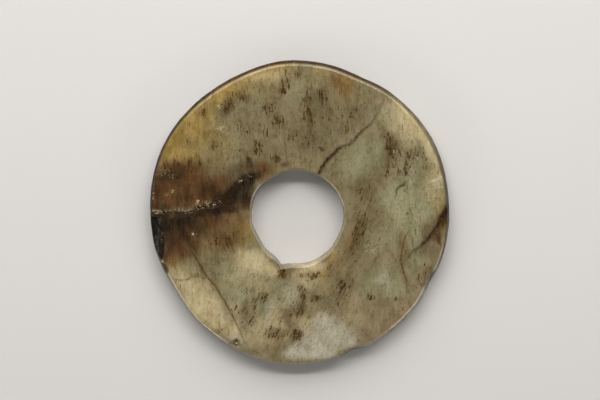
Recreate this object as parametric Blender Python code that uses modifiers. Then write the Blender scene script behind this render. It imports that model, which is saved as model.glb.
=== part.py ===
"""A plain jade bi disc of the Neolithic kind, lying on its back face.

Metres, +Z up. The front face looks up, the photograph's up is +Y and its right is +X. The origin is
on the surface that the disc lies on, under the middle of its outline.
"""

import math

import bmesh
import bpy
from mathutils import Vector

MM = 0.001

# The blank: a slab sawn from the boulder, ground round and polished
DISC_DIAMETER = 141 * MM
THICKNESS = 11 * MM
RIM_BULGE = 1.6 * MM
RIM_ARRIS = 0.9 * MM
FACE_FALL = 0.25 * MM
FACE_FALL_WIDTH = 9 * MM

# The bore: drilled with a tube from both faces, so it narrows to a ridge inside
BORE_DIAMETER = 43 * MM
BORE_TAPER = 0.6 * MM
BORE_ARRIS = 0.5 * MM
RIDGE_HEIGHT = 4.6 * MM
RIDGE_STEP = 0.35 * MM
BORE_SHIFT_X = -1.1 * MM
BORE_SHIFT_Y = -1.5 * MM

# The outline: how far the ground rim and the drilled bore stray from true circles.
# Each stretch is (middle angle, half width, amount), in degrees counted from +X.
OVALITY = 0.6 * MM
RIM_STRETCHES = (
    (28, 26, 0.8 * MM),
    (67, 15, -1.0 * MM),
    (97, 18, 0.7 * MM),
    (154, 36, 1.2 * MM),
    (211, 19, -1.1 * MM),
    (258, 28, 1.1 * MM),
    (291, 6, -1.2 * MM),
    (332, 11, -0.9 * MM),
)
FRONT_ARRIS_STRETCHES = ((24, 34, -0.9 * MM), (312, 36, -0.5 * MM))
BORE_STRETCHES = (
    (100, 34, 0.5 * MM),
    (140, 34, 0.6 * MM),
    (208, 24, -0.9 * MM),
    (252, 16, 1.3 * MM),
    (252, 6, 0.9 * MM),
    (276, 40, 0.9 * MM),
    (335, 24, -0.5 * MM),
)
FRONT_MOUTH_STRETCHES = ((150, 30, 0.8 * MM),)

# Spalls at the arrises: middle angle, length along the rim, reach on to the face, drop down the
# rim, which face it left, and the angle of the fissure that stopped it, if one did.
SPALLS = (
    (188, 34 * MM, 4.4 * MM, 3.0 * MM, "front", 181),
    (202, 7 * MM, 1.6 * MM, 1.8 * MM, "front", None),
    (333, 10 * MM, 0.9 * MM, 3.0 * MM, "front", None),
    (291, 7 * MM, 0.6 * MM, 2.4 * MM, "front", None),
    (118, 9 * MM, 1.6 * MM, 1.4 * MM, "back", None),
)

# Open fissures on the front face: points of (angle, share of the way from bore to rim)
LEFT_FISSURE = {
    "depth": 0.45 * MM,
    "radius": 0.7 * MM,
    "points": (
        (180.5, 1.03),
        (180, 0.87),
        (179, 0.74),
        (178, 0.56),
        (175.5, 0.48),
        (173.5, 0.38),
        (167, 0.28),
        (154, 0.19),
        (145, 0.15),
    ),
}
RIGHT_FISSURE = {
    "depth": 0.3 * MM,
    "radius": 0.45 * MM,
    "points": (
        (62, -0.04),
        (60, 0.09),
        (59.5, 0.18),
        (57, 0.29),
        (54.5, 0.35),
        (54, 0.46),
        (52.5, 0.57),
        (51.5, 0.65),
    ),
}

# How finely the round shapes are divided
COLUMNS = 144
ARRIS_STEPS = 3
RIM_STEPS = 5
FALL_STEPS = 3
SPALL_BALL_DIVISIONS = 4
WELD = 0.02 * MM

STONE_COLOUR = (0.33, 0.30, 0.17, 1.0)
STONE_ROUGHNESS = 0.35


def clear_scene():
    for thing in list(bpy.data.objects):
        bpy.data.objects.remove(thing)


def new_collection(name):
    collection = bpy.data.collections.new(name)
    bpy.context.scene.collection.children.link(collection)
    return collection


def jade():
    material = bpy.data.materials.new("polished_nephrite")
    material.use_nodes = True
    shader = material.node_tree.nodes["Principled BSDF"]
    shader.inputs["Base Color"].default_value = STONE_COLOUR
    shader.inputs["Roughness"].default_value = STONE_ROUGHNESS
    shader.inputs["Metallic"].default_value = 0.0
    return material


def arc(centre_r, centre_z, radius, start, end, steps):
    """Points of an arc in the (r, z) plane, with both ends, from one angle in radians to another."""
    turns = [start + (end - start) * i / steps for i in range(steps + 1)]
    return [(centre_r + radius * math.cos(t), centre_z + radius * math.sin(t)) for t in turns]


def rim_side():
    """The rim from the front face's edge to the back face's: two arrises with a bulging arc between."""
    middle = THICKNESS / 2
    bulge_radius = THICKNESS**2 / (8 * RIM_BULGE) + RIM_BULGE / 2
    bulge_r = DISC_DIAMETER / 2 - bulge_radius
    front_z = THICKNESS - FACE_FALL - RIM_ARRIS
    back_z = RIM_ARRIS
    front_turn = math.asin((front_z - middle) / (bulge_radius - RIM_ARRIS))
    back_turn = math.asin((back_z - middle) / (bulge_radius - RIM_ARRIS))
    front_r = bulge_r + (bulge_radius - RIM_ARRIS) * math.cos(front_turn)
    back_r = bulge_r + (bulge_radius - RIM_ARRIS) * math.cos(back_turn)
    front = arc(front_r, front_z, RIM_ARRIS, math.pi / 2, front_turn, ARRIS_STEPS)
    bulge = arc(bulge_r, middle, bulge_radius, front_turn, back_turn, RIM_STEPS)
    back = arc(back_r, back_z, RIM_ARRIS, back_turn, -math.pi / 2, ARRIS_STEPS)
    return front + bulge[1:-1] + back


def bore_side():
    """The bore from the back face's edge up to the front face's, over the ridge inside."""
    waist = BORE_DIAMETER / 2
    centre_r = waist + BORE_TAPER + BORE_ARRIS
    back = arc(centre_r, BORE_ARRIS, BORE_ARRIS, -math.pi / 2, -math.pi, ARRIS_STEPS)
    ridge = [(waist, RIDGE_HEIGHT), (waist + RIDGE_STEP, RIDGE_HEIGHT + RIDGE_STEP)]
    front_z = THICKNESS - BORE_ARRIS
    front = arc(centre_r, front_z, BORE_ARRIS, math.pi, math.pi / 2, ARRIS_STEPS)
    return back + ridge + front


def front_face_side(inner_r, outer_r):
    """The front face between its two arrises: flat, then easing down towards the rim."""
    start = outer_r - FACE_FALL_WIDTH
    shares = [i / FALL_STEPS for i in range(FALL_STEPS)]
    fall = [(start + FACE_FALL_WIDTH * s, THICKNESS - FACE_FALL * s**2) for s in shares]
    return [((inner_r + start) / 2, THICKNESS)] + fall


def section():
    """The closed cross-section at +X: down the rim, in along the back, up the bore, out again."""
    rim = rim_side()
    bore = bore_side()
    back_middle = ((rim[-1][0] + bore[0][0]) / 2, 0.0)
    return rim + [back_middle] + bore + front_face_side(bore[-1][0], rim[0][0])


def stretch(angle, middle, half_width):
    """1 at the middle of a stretch of the outline, easing to 0 at its ends."""
    away = abs((angle - middle + 180) % 360 - 180)
    return 0.5 + 0.5 * math.cos(math.pi * away / half_width) if away < half_width else 0.0


def total(stretches, angle):
    return sum(amount * stretch(angle, middle, half) for middle, half, amount in stretches)


def shaped(angle, radius, height):
    """Where a point of the true ring goes on the real one, whose outlines stray from circles."""
    bore = BORE_DIAMETER / 2
    rim = DISC_DIAMETER / 2
    share = min(1.0, max(0.0, (radius - bore) / (rim - bore)))
    front = max(0.0, 2 * height / THICKNESS - 1)
    turn = math.radians(angle)
    rim_move = total(RIM_STRETCHES, angle) - OVALITY * math.cos(2 * turn)
    rim_move += total(FRONT_ARRIS_STRETCHES, angle) * front
    bore_move = total(BORE_STRETCHES, angle) + total(FRONT_MOUTH_STRETCHES, angle) * front**2
    new_radius = radius + share * rim_move + (1 - share) * bore_move
    shift = Vector((BORE_SHIFT_X, BORE_SHIFT_Y)) * (1 - share)
    x = new_radius * math.cos(turn) + shift.x
    y = new_radius * math.sin(turn) + shift.y
    return Vector((x, y, height))


def on_front(angle, share):
    """A point of the front face by its angle and its share of the way from bore to rim."""
    bore = BORE_DIAMETER / 2
    rim = DISC_DIAMETER / 2
    return shaped(angle, bore + (rim - bore) * min(share, 1.0), THICKNESS)


def turned_ring(collection):
    """The true ring, turned from its section by a Screw, then given the real outlines."""
    profile = bpy.data.meshes.new("section")
    points = [(r, 0.0, z) for r, z in section()]
    edges = [(i, (i + 1) % len(points)) for i in range(len(points))]
    profile.from_pydata(points, edges, [])
    disc = bpy.data.objects.new("jade_disc", profile)
    collection.objects.link(disc)
    screw = disc.modifiers.new("turn", "SCREW")
    screw.steps = COLUMNS
    screw.render_steps = COLUMNS
    screw.use_merge_vertices = True
    screw.merge_threshold = WELD
    disc.data = made_mesh(disc)
    disc.modifiers.clear()
    for vertex in disc.data.vertices:
        x, y, z = vertex.co
        vertex.co = shaped(math.degrees(math.atan2(y, x)), math.hypot(x, y), z)
    return disc


def made_mesh(thing):
    """The closed mesh that an object's modifiers or its curve make."""
    bpy.context.view_layer.update()
    graph = bpy.context.evaluated_depsgraph_get()
    made = bpy.data.meshes.new_from_object(thing.evaluated_get(graph))
    work = bmesh.new()
    work.from_mesh(made)
    bmesh.ops.remove_doubles(work, verts=work.verts, dist=WELD)
    bmesh.ops.recalc_face_normals(work, faces=work.faces)
    work.to_mesh(made)
    work.free()
    return made


def spall_cutter(name, angle, length, reach, drop, side, stop, collection):
    """A large ball whose surface leaves a shell-shaped scar of that length, reach and drop."""
    on_face = length**2 / (8 * reach) + reach / 2
    above = (2 * on_face * reach - reach**2 - drop**2) / (2 * drop)
    corner = shaped(angle, DISC_DIAMETER / 2, THICKNESS)
    outward = Vector((corner.x, corner.y, 0)).normalized()
    edge = corner - outward * RIM_BULGE
    centre = edge + outward * (on_face - reach)
    centre.z = THICKNESS + above if side == "front" else -above
    ball = bmesh.new()
    bmesh.ops.create_icosphere(ball, subdivisions=SPALL_BALL_DIVISIONS, radius=math.hypot(on_face, above))
    bmesh.ops.translate(ball, verts=ball.verts, vec=centre)
    if stop is not None:
        cut_at_fissure(ball, stop)
    mesh = bpy.data.meshes.new(name)
    ball.to_mesh(mesh)
    ball.free()
    return helper(name, mesh, collection)


def cut_at_fissure(ball, angle):
    """Keeps the part of a ball that lies past a fissure, which is where the scar ended."""
    turn = math.radians(angle)
    across = Vector((-math.sin(turn), math.cos(turn), 0))
    whole = list(ball.verts) + list(ball.edges) + list(ball.faces)
    point = shaped(angle, DISC_DIAMETER / 2, 0)
    cut = bmesh.ops.bisect_plane(ball, geom=whole, plane_co=point, plane_no=across, clear_inner=True)
    rim = [e for e in cut["geom_cut"] if isinstance(e, bmesh.types.BMEdge)]
    bmesh.ops.holes_fill(ball, edges=rim, sides=0)
    bmesh.ops.recalc_face_normals(ball, faces=ball.faces)


def fissure_cutter(name, fissure, collection):
    """A thin tube laid along a fissure, sunk to its depth."""
    curve = bpy.data.curves.new(name, "CURVE")
    curve.dimensions = "3D"
    curve.bevel_depth = fissure["radius"]
    curve.bevel_resolution = 2
    curve.use_fill_caps = True
    line = curve.splines.new("POLY")
    line.points.add(len(fissure["points"]) - 1)
    height = THICKNESS + fissure["radius"] - fissure["depth"]
    for point, (angle, share) in zip(line.points, fissure["points"]):
        place = on_front(angle, share)
        outward = Vector((place.x, place.y, 0)).normalized()
        place += outward * (share - min(share, 1.0)) * DISC_DIAMETER / 2
        point.co = (place.x, place.y, height, 1.0)
    drawn = helper(name, curve, collection)
    tube = helper(name, made_mesh(drawn), collection)
    bpy.data.objects.remove(drawn)
    return tube


def helper(name, data, collection):
    thing = bpy.data.objects.new(name, data)
    thing.hide_render = True
    thing.display_type = "WIRE"
    collection.objects.link(thing)
    return thing


def cut(disc, cutter):
    modifier = disc.modifiers.new(cutter.name, "BOOLEAN")
    modifier.operation = "DIFFERENCE"
    modifier.object = cutter


def centre_on_origin(things):
    """Moves everything so that the origin is under the middle of the disc's outline."""
    corners = [v.co for v in things[0].data.vertices]
    middle_x = (min(c.x for c in corners) + max(c.x for c in corners)) / 2
    middle_y = (min(c.y for c in corners) + max(c.y for c in corners)) / 2
    for thing in things:
        thing.location = (-middle_x, -middle_y, 0)


def build():
    clear_scene()
    parts = new_collection("jade_bi_disc")
    cutters = new_collection("cutters")
    disc = turned_ring(parts)
    tools = []
    for number, spall in enumerate(SPALLS, start=1):
        tools.append(spall_cutter(f"spall_{number}", *spall, cutters))
    tools.append(fissure_cutter("left_fissure", LEFT_FISSURE, cutters))
    tools.append(fissure_cutter("right_fissure", RIGHT_FISSURE, cutters))
    for tool in tools:
        cut(disc, tool)
    centre_on_origin([disc, *tools])
    disc.data.materials.append(jade())
    disc.data.shade_smooth()
    disc.data.set_sharp_from_angle(angle=math.radians(35))


build()
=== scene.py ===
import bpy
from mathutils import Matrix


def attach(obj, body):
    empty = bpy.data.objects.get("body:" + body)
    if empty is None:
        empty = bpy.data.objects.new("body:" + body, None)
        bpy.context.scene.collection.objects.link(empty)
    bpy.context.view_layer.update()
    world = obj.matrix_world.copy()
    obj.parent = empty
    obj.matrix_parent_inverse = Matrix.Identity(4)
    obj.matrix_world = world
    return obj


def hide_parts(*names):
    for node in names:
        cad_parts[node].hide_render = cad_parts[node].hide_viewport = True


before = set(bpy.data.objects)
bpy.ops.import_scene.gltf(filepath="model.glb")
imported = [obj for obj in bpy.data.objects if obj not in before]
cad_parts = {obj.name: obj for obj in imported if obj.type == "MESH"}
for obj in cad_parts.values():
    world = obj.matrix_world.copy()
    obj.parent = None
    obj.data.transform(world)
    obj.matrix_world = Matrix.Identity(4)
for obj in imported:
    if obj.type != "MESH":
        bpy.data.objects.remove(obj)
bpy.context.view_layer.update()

import math

import bpy
import numpy as np
from mathutils import Matrix, Vector

mm = 0.001

# The photograph looks at the front face from a little above its middle. Places on the face are
# given below as the photograph's pixels, and this is how they lie on the stone.
photo = {
    "pixel": 0.465 * mm,
    "middle": (300.05, 211.95),
    "tilt": math.radians(7),
}

disc = {
    "outerRadius": 70.5 * mm,
    "boreRadius": 21.5 * mm,
    "thickness": 11 * mm,
    "rimBulge": 1.6 * mm,
    "rimArris": 0.9 * mm,
    "boreTaper": 0.6 * mm,
    "frontTaperShare": 0.7,
    "taperReach": (3.5 * mm, 1.1 * mm),
    "boreArris": 0.5 * mm,
    "ridgeHeight": 4.6 * mm,
    "ridgeStep": 0.35 * mm,
    "faceFall": 0.25 * mm,
    "faceFallWidth": 9 * mm,
    "boreShift": (-1.1 * mm, -1.5 * mm),
    "ovality": 0.6 * mm,
    # stretches of the outline that stray from the circle: middle angle, half width, how far
    "rim": (
        (28, 26, 0.8), (67, 15, -1.0), (97, 18, 0.7), (154, 36, 1.2), (211, 19, -1.1),
        (258, 28, 1.1), (291, 6, -1.2), (332, 11, -0.9),
    ),
    "frontArris": ((24, 34, -0.9), (312, 36, -0.5)),
    "bore": (
        (100, 34, 0.5), (140, 34, 0.6), (208, 24, -0.9), (252, 16, 1.3), (252, 6, 0.9),
        (276, 40, 0.9), (335, 24, -0.5),
    ),
    "frontMouth": ((150, 30, 0.8),),
    # worn facets of the front edges: reach on to the face, drop down the side, roundness
    "rimFacet": (0.56 * mm, 0.5 * mm, 0.14 * mm),
    "boreFacet": (0.85 * mm, 0.52 * mm, 0.14 * mm),
    # how finely the stone is divided
    "columns": 420,
    "frontCuts": 50,
    "backCuts": 11,
    "rimCuts": 8,
    "boreCuts": 9,
}


def onFace(pixelX, pixelY):
    # where a pixel of the photograph lies on the front face
    middleX, middleY = photo["middle"]
    x = (pixelX - middleX) * photo["pixel"]
    up = (middleY - pixelY) * photo["pixel"]
    y = (up + disc["thickness"] * math.sin(photo["tilt"])) / math.cos(photo["tilt"])
    return x, y


def ease(value, low, high):
    # 0 below low, 1 above high, smooth between; low may be the greater one
    part = np.clip((value - low) / (high - low), 0, 1)
    return part * part * (3 - 2 * part)


def ripple(points, size, seed):
    # smooth noise, about -1 to 1, with lumps of that size; size may differ along x, y and z
    places = points / np.asarray(size) + seed * 17.31
    cell = np.floor(places).astype(np.int64)
    part = places - cell
    blend = part**3 * (part * (part * 6 - 15) + 10)
    total = np.zeros(len(points))
    for corner in np.ndindex(2, 2, 2):
        key = (cell + corner) @ (73856093, 19349663, 83492791)
        key = (key ^ (key >> 15)) * 2246822519 & 0xFFFFFFFF
        key = (key ^ (key >> 13)) * 3266489917 & 0xFFFFFFFF
        slope = np.stack([key & 1023, key >> 10 & 1023, key >> 20 & 1023], 1) / 511.5 - 1
        weight = np.prod(np.where(corner, blend, 1 - blend), 1)
        total += weight * np.einsum("ij,ij->i", slope, part - corner)
    return 1.6 * total


def pick(kind, test):
    # in edit mode, selects the points, edges or faces whose middles pass the test
    bpy.ops.mesh.select_mode(type=kind)
    bpy.ops.mesh.select_all(action="DESELECT")
    bpy.ops.object.mode_set(mode="OBJECT")
    mesh = bpy.context.object.data
    corners = readPoints(bpy.context.object)
    if kind == "VERT":
        items, middles = mesh.vertices, corners
    elif kind == "EDGE":
        ends = np.zeros(len(mesh.edges) * 2, np.int32)
        mesh.edges.foreach_get("vertices", ends)
        items, middles = mesh.edges, corners[ends.reshape(-1, 2)].mean(1)
    else:
        items, middles = mesh.polygons, np.zeros(len(mesh.polygons) * 3)
        items.foreach_get("center", middles)
        middles = middles.reshape(-1, 3)
    items.foreach_set("select", test(middles))
    bpy.ops.object.mode_set(mode="EDIT")


def readPoints(piece):
    flat = np.zeros(len(piece.data.vertices) * 3)
    piece.data.vertices.foreach_get("co", flat)
    return flat.reshape(-1, 3)


def writePoints(piece, points):
    piece.data.vertices.foreach_set("co", points.ravel())
    piece.data.update()


def makeRing():
    # a plane stands for the section; its corners are worked, and it is spun round the bore
    low = disc["boreRadius"]
    high = disc["outerRadius"] - disc["rimBulge"]
    thick = disc["thickness"]
    hair = 0.01 * mm
    weld = 0.004 * mm
    bpy.ops.object.select_all(action="DESELECT")
    place = ((low + high) / 2, 0, thick / 2)
    bpy.ops.mesh.primitive_plane_add(size=1, location=place, rotation=(math.pi / 2, 0, 0))
    ring = bpy.context.object
    ring.name = "jadeDisc"
    ring.scale = (high - low, thick, 1)
    bpy.ops.object.transform_apply(location=True, rotation=True, scale=True)
    bpy.ops.object.mode_set(mode="EDIT")
    # the front edges of the rim and of the bore are worn to narrow facets with soft corners
    for edge, place in (("rimFacet", high), ("boreFacet", low)):
        reach, drop, soft = disc[edge]
        pick("VERT", lambda p: (p[:, 2] > thick - hair) & (abs(p[:, 0] - place) < hair))
        bpy.ops.mesh.bevel(offset=reach, segments=1, affect="VERTICES")
        pick("VERT", lambda p: (p[:, 2] > thick - reach - hair) & (abs(p[:, 0] - place) < hair))
        bpy.ops.transform.translate(value=(0, 0, reach - drop))
        pick("VERT", lambda p: (p[:, 2] > thick / 2) & (abs(p[:, 0] - place) < reach + hair))
        bpy.ops.mesh.bevel(offset=soft, segments=3, profile=0.5, affect="VERTICES")
    for width, place in ((disc["rimArris"], high), (disc["boreArris"], low)):
        pick("VERT", lambda p: (p[:, 2] < hair) & (abs(p[:, 0] - place) < hair))
        bpy.ops.mesh.bevel(offset=width, segments=4, profile=0.5, affect="VERTICES")
    bpy.ops.mesh.select_all(action="SELECT")
    bpy.ops.mesh.delete(type="ONLY_FACE")
    middle = (low + high) / 2
    near = 2 * mm
    sides = (
        (lambda p: (p[:, 2] > thick / 2) & (abs(p[:, 0] - middle) < near), disc["frontCuts"]),
        (lambda p: (p[:, 2] < thick / 2) & (abs(p[:, 0] - middle) < near), disc["backCuts"]),
        (lambda p: (p[:, 0] > middle) & (abs(p[:, 2] - thick / 2) < near), disc["rimCuts"]),
        (lambda p: (p[:, 0] < middle) & (abs(p[:, 2] - thick / 2) < near), disc["boreCuts"]),
    )
    for test, cuts in sides:
        pick("EDGE", test)
        bpy.ops.mesh.subdivide(number_cuts=cuts)
    bpy.ops.object.mode_set(mode="OBJECT")
    bpy.ops.object.modifier_add(type="SCREW")
    turn = ring.modifiers[0]
    turn.steps = disc["columns"]
    turn.render_steps = disc["columns"]
    turn.use_merge_vertices = True
    turn.merge_threshold = weld
    bpy.ops.object.modifier_apply(modifier=turn.name)
    bpy.ops.object.mode_set(mode="EDIT")
    bpy.ops.mesh.select_all(action="SELECT")
    bpy.ops.mesh.remove_doubles(threshold=weld)
    bpy.ops.mesh.normals_make_consistent(inside=False)
    bpy.ops.object.mode_set(mode="OBJECT")
    return ring


def strays(angle, stretches):
    # how far the outline strays at each angle, in metres
    total = np.zeros_like(angle)
    for middle, half, amount in stretches:
        away = np.abs((angle - middle + 180) % 360 - 180)
        total += np.where(away < half, (0.5 + 0.5 * np.cos(np.pi * away / half)) * amount * mm, 0)
    return total


def outlineMoves(angle, front):
    # outward moves of the rim and of the bore at each angle; front is 0 at the back half and 1 on
    # the front face
    rimMove = strays(angle, disc["rim"]) - disc["ovality"] * np.cos(2 * np.radians(angle))
    rimMove += strays(angle, disc["frontArris"]) * front
    boreMove = strays(angle, disc["bore"]) + strays(angle, disc["frontMouth"]) * front**2
    return rimMove, boreMove


def shapeRing(ring):
    # the bulging rim, the two-sided taper of the bore with its ridge, then the real outlines
    points = readPoints(ring)
    x, y, z = points.T
    radius = np.hypot(x, y)
    angle = np.degrees(np.arctan2(y, x))
    thick = disc["thickness"]
    low = disc["boreRadius"]
    high = disc["outerRadius"] - disc["rimBulge"]
    share = np.clip((radius - low) / (high - low), 0, 1)
    fromMiddle = np.abs(z - thick / 2) / (thick / 2)
    rimward = ease(radius, high - 2 * disc["rimArris"], high)
    radius = radius + disc["rimBulge"] * (1 - fromMiddle**2) * rimward
    # the wall leans from each face to the ridge, which lies below the middle
    none, full = disc["taperReach"]
    boreward = ease(radius, low + none, low + full)
    upper = np.clip((z - disc["ridgeHeight"]) / (thick - disc["ridgeHeight"]), 0, 1)
    lower = np.clip((disc["ridgeHeight"] - z) / disc["ridgeHeight"], 0, 1)
    step = ease(z, disc["ridgeHeight"], disc["ridgeHeight"] + 2 * disc["ridgeStep"])
    lean = disc["boreTaper"] * (disc["frontTaperShare"] * upper + lower)
    lean = lean + disc["ridgeStep"] * step * (1 - upper)
    radius = radius + lean * boreward
    fall = np.clip((radius - (high - disc["faceFallWidth"])) / disc["faceFallWidth"], 0, 1)
    front = np.clip(2 * z / thick - 1, 0, 1)
    z = z - disc["faceFall"] * fall**2 * front
    rimMove, boreMove = outlineMoves(angle, front)
    radius = radius + share * rimMove + (1 - share) * boreMove
    turn = np.radians(angle)
    shiftX, shiftY = disc["boreShift"]
    x = radius * np.cos(turn) + (1 - share) * shiftX
    y = radius * np.sin(turn) + (1 - share) * shiftY
    writePoints(ring, np.stack([x, y, z], 1))


# Cracks in the front face, as pixels of the photograph. Each point has the groove's half width and
# depth in mm and how dark the line is drawn. Fissures are open and dark, veins fine and brown.
fissures = {
    "left": (
        (149, 213.5, 0.8, 0.4, 1), (155, 213, 0.7, 0.3, 1), (163, 213.5, 0.5, 0.12, 0.8),
        (172, 213, 0.4, 0.08, 0.7), (184, 213, 0.4, 0.08, 0.8), (192, 212, 0.5, 0.14, 0.9),
        (197, 208.5, 0.7, 0.25, 1), (205, 207.5, 0.6, 0.16, 1), (213, 207, 0.55, 0.14, 0.9),
        (220, 205.5, 0.5, 0.1, 0.8), (226, 199, 0.5, 0.06, 0.55), (231, 192, 0.5, 0.04, 0.45),
        (237, 185, 0.5, 0.04, 0.45), (242, 179.5, 0.5, 0.1, 0.6), (248, 177, 0.4, 0.08, 0.55),
        (256, 175.5, 0.4, 0.08, 0.55), (262, 172, 0.3, 0.02, 0.3),
    ),
    "upperRight": (
        (319, 172.5, 0.5, 0.2, 1), (323, 166, 0.4, 0.2, 1), (328, 159, 0.3, 0.18, 1),
        (333, 155, 0.28, 0.16, 1), (338, 149, 0.25, 0.16, 1), (344, 146, 0.15, 0.12, 0.85),
        (349.5, 144.5, 0.12, 0.12, 0.7), (354, 140, 0.15, 0.12, 0.85), (359, 134, 0.18, 0.12, 0.95),
        (365, 128.5, 0.14, 0.1, 0.85), (371, 124, 0.1, 0.06, 0.7), (377, 114, 0.1, 0.05, 0.35),
        (381, 105, 0.05, 0.05, 0.25), (384, 98, 0.15, 0.0, 0.0),
    ),
    "right": (
        (451, 207, 1.1, 0.4, 1), (446, 213, 1.0, 0.3, 1), (440.5, 219, 0.65, 0.2, 0.9),
        (438, 226, 0.4, 0.15, 0.85), (433, 233, 0.4, 0.15, 0.85), (426, 242, 0.35, 0.12, 0.8),
        (420, 247.5, 0.35, 0.12, 0.75), (414, 251, 0.3, 0.1, 0.7), (409, 257, 0.25, 0.05, 0.5),
        (406, 262, 0.2, 0.0, 0.0),
    ),
    "small": (
        (407, 181, 0.05, 0.08, 0.5), (404, 184, 0.1, 0.08, 0.9), (397, 189, 0.08, 0.08, 0.9),
        (396, 194, 0.05, 0.08, 0.7), (395, 199, 0.2, 0.0, 0.2),
    ),
}
veins = {
    "lowerLeft": (
        (183, 238, 0.43, 0.0, 0), (189, 249, 0.43, 0.1, 0.5), (194, 256, 0.37, 0.12, 1),
        (200, 266, 0.34, 0.12, 1), (207, 278, 0.31, 0.12, 1), (214, 285, 0.28, 0.1, 0.9),
        (219, 293, 0.31, 0.12, 1), (225, 304, 0.31, 0.12, 0.9), (231, 315, 0.31, 0.1, 0.85),
        (237, 326, 0.28, 0.08, 0.7), (242, 338, 0.25, 0.05, 0.55), (248, 350, 0.19, 0.0, 0.1),
    ),
    "lowerLeftSmall": (
        (171, 278, 0.12, 0.0, 0.3), (178, 280.5, 0.15, 0.06, 0.7), (186, 280.5, 0.15, 0.06, 0.7),
        (192, 277, 0.15, 0.06, 0.6), (198, 276, 0.15, 0.05, 0.6), (205, 279, 0.12, 0.0, 0.5),
    ),
    "rightBranch": (
        (433, 232, 0.6, 0.08, 0.9), (437, 236, 0.7, 0.08, 1), (440.5, 244, 0.25, 0.1, 0.8),
        (442, 249, 0.12, 0.0, 0.1),
    ),
    "rightUpright": (
        (409, 231, 0.3, 0.0, 0.4), (405, 239, 0.4, 0.06, 0.8), (402.5, 250, 0.35, 0.06, 0.75),
        (401, 262, 0.4, 0.06, 0.85), (404, 271, 0.35, 0.06, 0.9), (407, 280, 0.3, 0.05, 0.8),
        (407.5, 290, 0.19, 0.0, 0.5), (407, 301, 0.19, 0.0, 0.3),
    ),
}

# Pale bruises: scratches at the right, and a pale line along the upper lip of the main fissure
scratches = {
    "long": ((427, 183, 0.05, 0, 0.3), (437, 179, 0.1, 0, 0.85), (447, 174, 0.05, 0, 0.4)),
    "low": ((426, 191, 0.05, 0, 0.3), (433, 188.5, 0.08, 0, 0.7), (443, 187, 0.05, 0, 0.4)),
    "steep": ((433, 175, 0.05, 0, 0.2), (435, 183, 0.08, 0, 0.7), (435, 192, 0.05, 0, 0.2)),
    "lipOuter": ((149, 211.5, 0.25, 0, 0.8), (156, 211, 0.15, 0, 0.5), (163, 211.4, 0.05, 0, 0)),
    "lipInner": ((174, 211, 0.05, 0, 0), (184, 211, 0.08, 0, 0.3), (193, 209, 0.1, 0, 0.35)),
}

# Flakes off the arrises: middle angle, length along the rim, reach on to the face, drop down the
# rim, the face that each left, the angle of the fissure that stopped it, if one did, and how dark
# its scar's painted shade is
spalls = (
    (188, 34, 4.4, 3.0, "front", 181, 1),
    (202, 7, 1.6, 1.8, "front", None, 0.7),
    (333, 10, 0.9, 3.0, "front", None, 0.12),
    (291, 7, 0.6, 2.4, "front", None, 0.2),
    (118, 9, 1.6, 1.4, "back", None, 0.3),
)

# Small pits in the face, as pixels of the photograph: x, y, radius and depth in mm
pits = (
    (394.6, 152, 0.7, 0.18), (236, 344, 0.7, 0.25), (237.5, 348, 0.6, 0.25),
    (233.5, 342, 0.4, 0.25), (172, 179, 0.7, 0.12), (166, 176, 0.6, 0.12), (198, 208, 1.0, 0.4),
    (242, 180, 0.7, 0.4), (219.5, 108, 0.5, 0.2), (436, 186, 0.7, 0.15), (193, 234, 0.7, 0.25),
    (162, 265, 0.9, 0.4), (342, 285, 0.5, 0.2), (264, 299, 0.5, 0.15), (316, 298, 0.6, 0.15),
    (297, 69, 0.5, 0.15),
)

# Wear by grinding, drilling and age: how far each kind moves the surface and how long its waves
# are, in mm
wear = {
    "faceSwell": (0.05, 26),
    "faceRipple": (0.025, 9),
    "faceGround": 0.06,
    "edgeWander": (0.1, 7),
    "edgeNibble": (0.05, 1.8),
    "edgeGround": 0.08,
    "drillRings": (0.05, 0.42),
    "boreNibble": (0.05, 1.2),
    "crackWander": (0.35, 2.1),
    "crackShake": (0.22, 0.9),
    "breakWander": (0.25, 1.5),
    "lipCrumble": (0.18, 0.75),
    # as shares of a crack's width and of a pit's radius
    "crackRagged": (0.45, 0.9),
    "pitRagged": (0.35, 0.7),
    # as shares of a scar's depth, which goes no further than scarSteps
    "scarCoarse": (0.28, 2.4),
    "scarFine": (0.16, 0.8),
    "scarShell": (0.3, (1.6, 1.6, 0.7)),
    "scarSteps": 0.9,
    # stains: their edges wander across and up the face, most of all along the grain
    "stainAcross": (1.5, 8),
    "stainAcrossFine": (0.5, 2.6),
    "stainUp": (1.7, 8),
    "stainUpFine": (1, (1.4, 4, 4)),
}


def waves(points, kind, seed):
    # noise of the height and length that the wear gives, in mm or as a share
    height, length = wear[kind]
    return height * ripple(points, np.asarray(length) * mm, seed)


# Where each kind of wear or mark is nothing and where it is full, in mm: below the front face,
# beyond the bore's radius, inside the outer one, away from a fissure or along +Y from the middle
fades = {
    "faceOnly": (1, 0.4),
    "rimWorn": (4.5, 1.5),
    "boreWorn": (4.5, 2),
    "wallFromEdge": (0, 1),
    "lipBroken": (1.5, 0.5),
    # painted shade in a scar fades in from its edge
    "paintedScarShade": (0.02, 0.12),
    "frontMarks": (3, 1.5),
    "rimInside": (5, 4),
    # the next five place the rim's painted shade and its painted pale reflection
    "rimShadeBelow": (0.6, 1.1),
    "paleReflectionBelow": (0.25, 0.45),
    "paleReflectionLowest": (5, 2.5),
    "boreBeyond": (4, 3),
    "boreReflectionEnd": (1.4, 1),
    "facetBelow": (0.2, 0.35),
    "facetEnd": (1.3, 0.9),
    # where the large scar's painted reflection lies, down from the face and towards -Y
    "scarReflectionBelow": (0.9, 2.4),
    "scarReflectionAlong": (-1, -8),
}


def fade(value, name):
    none, full = fades[name]
    return ease(value, none * mm, full * mm)


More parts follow.
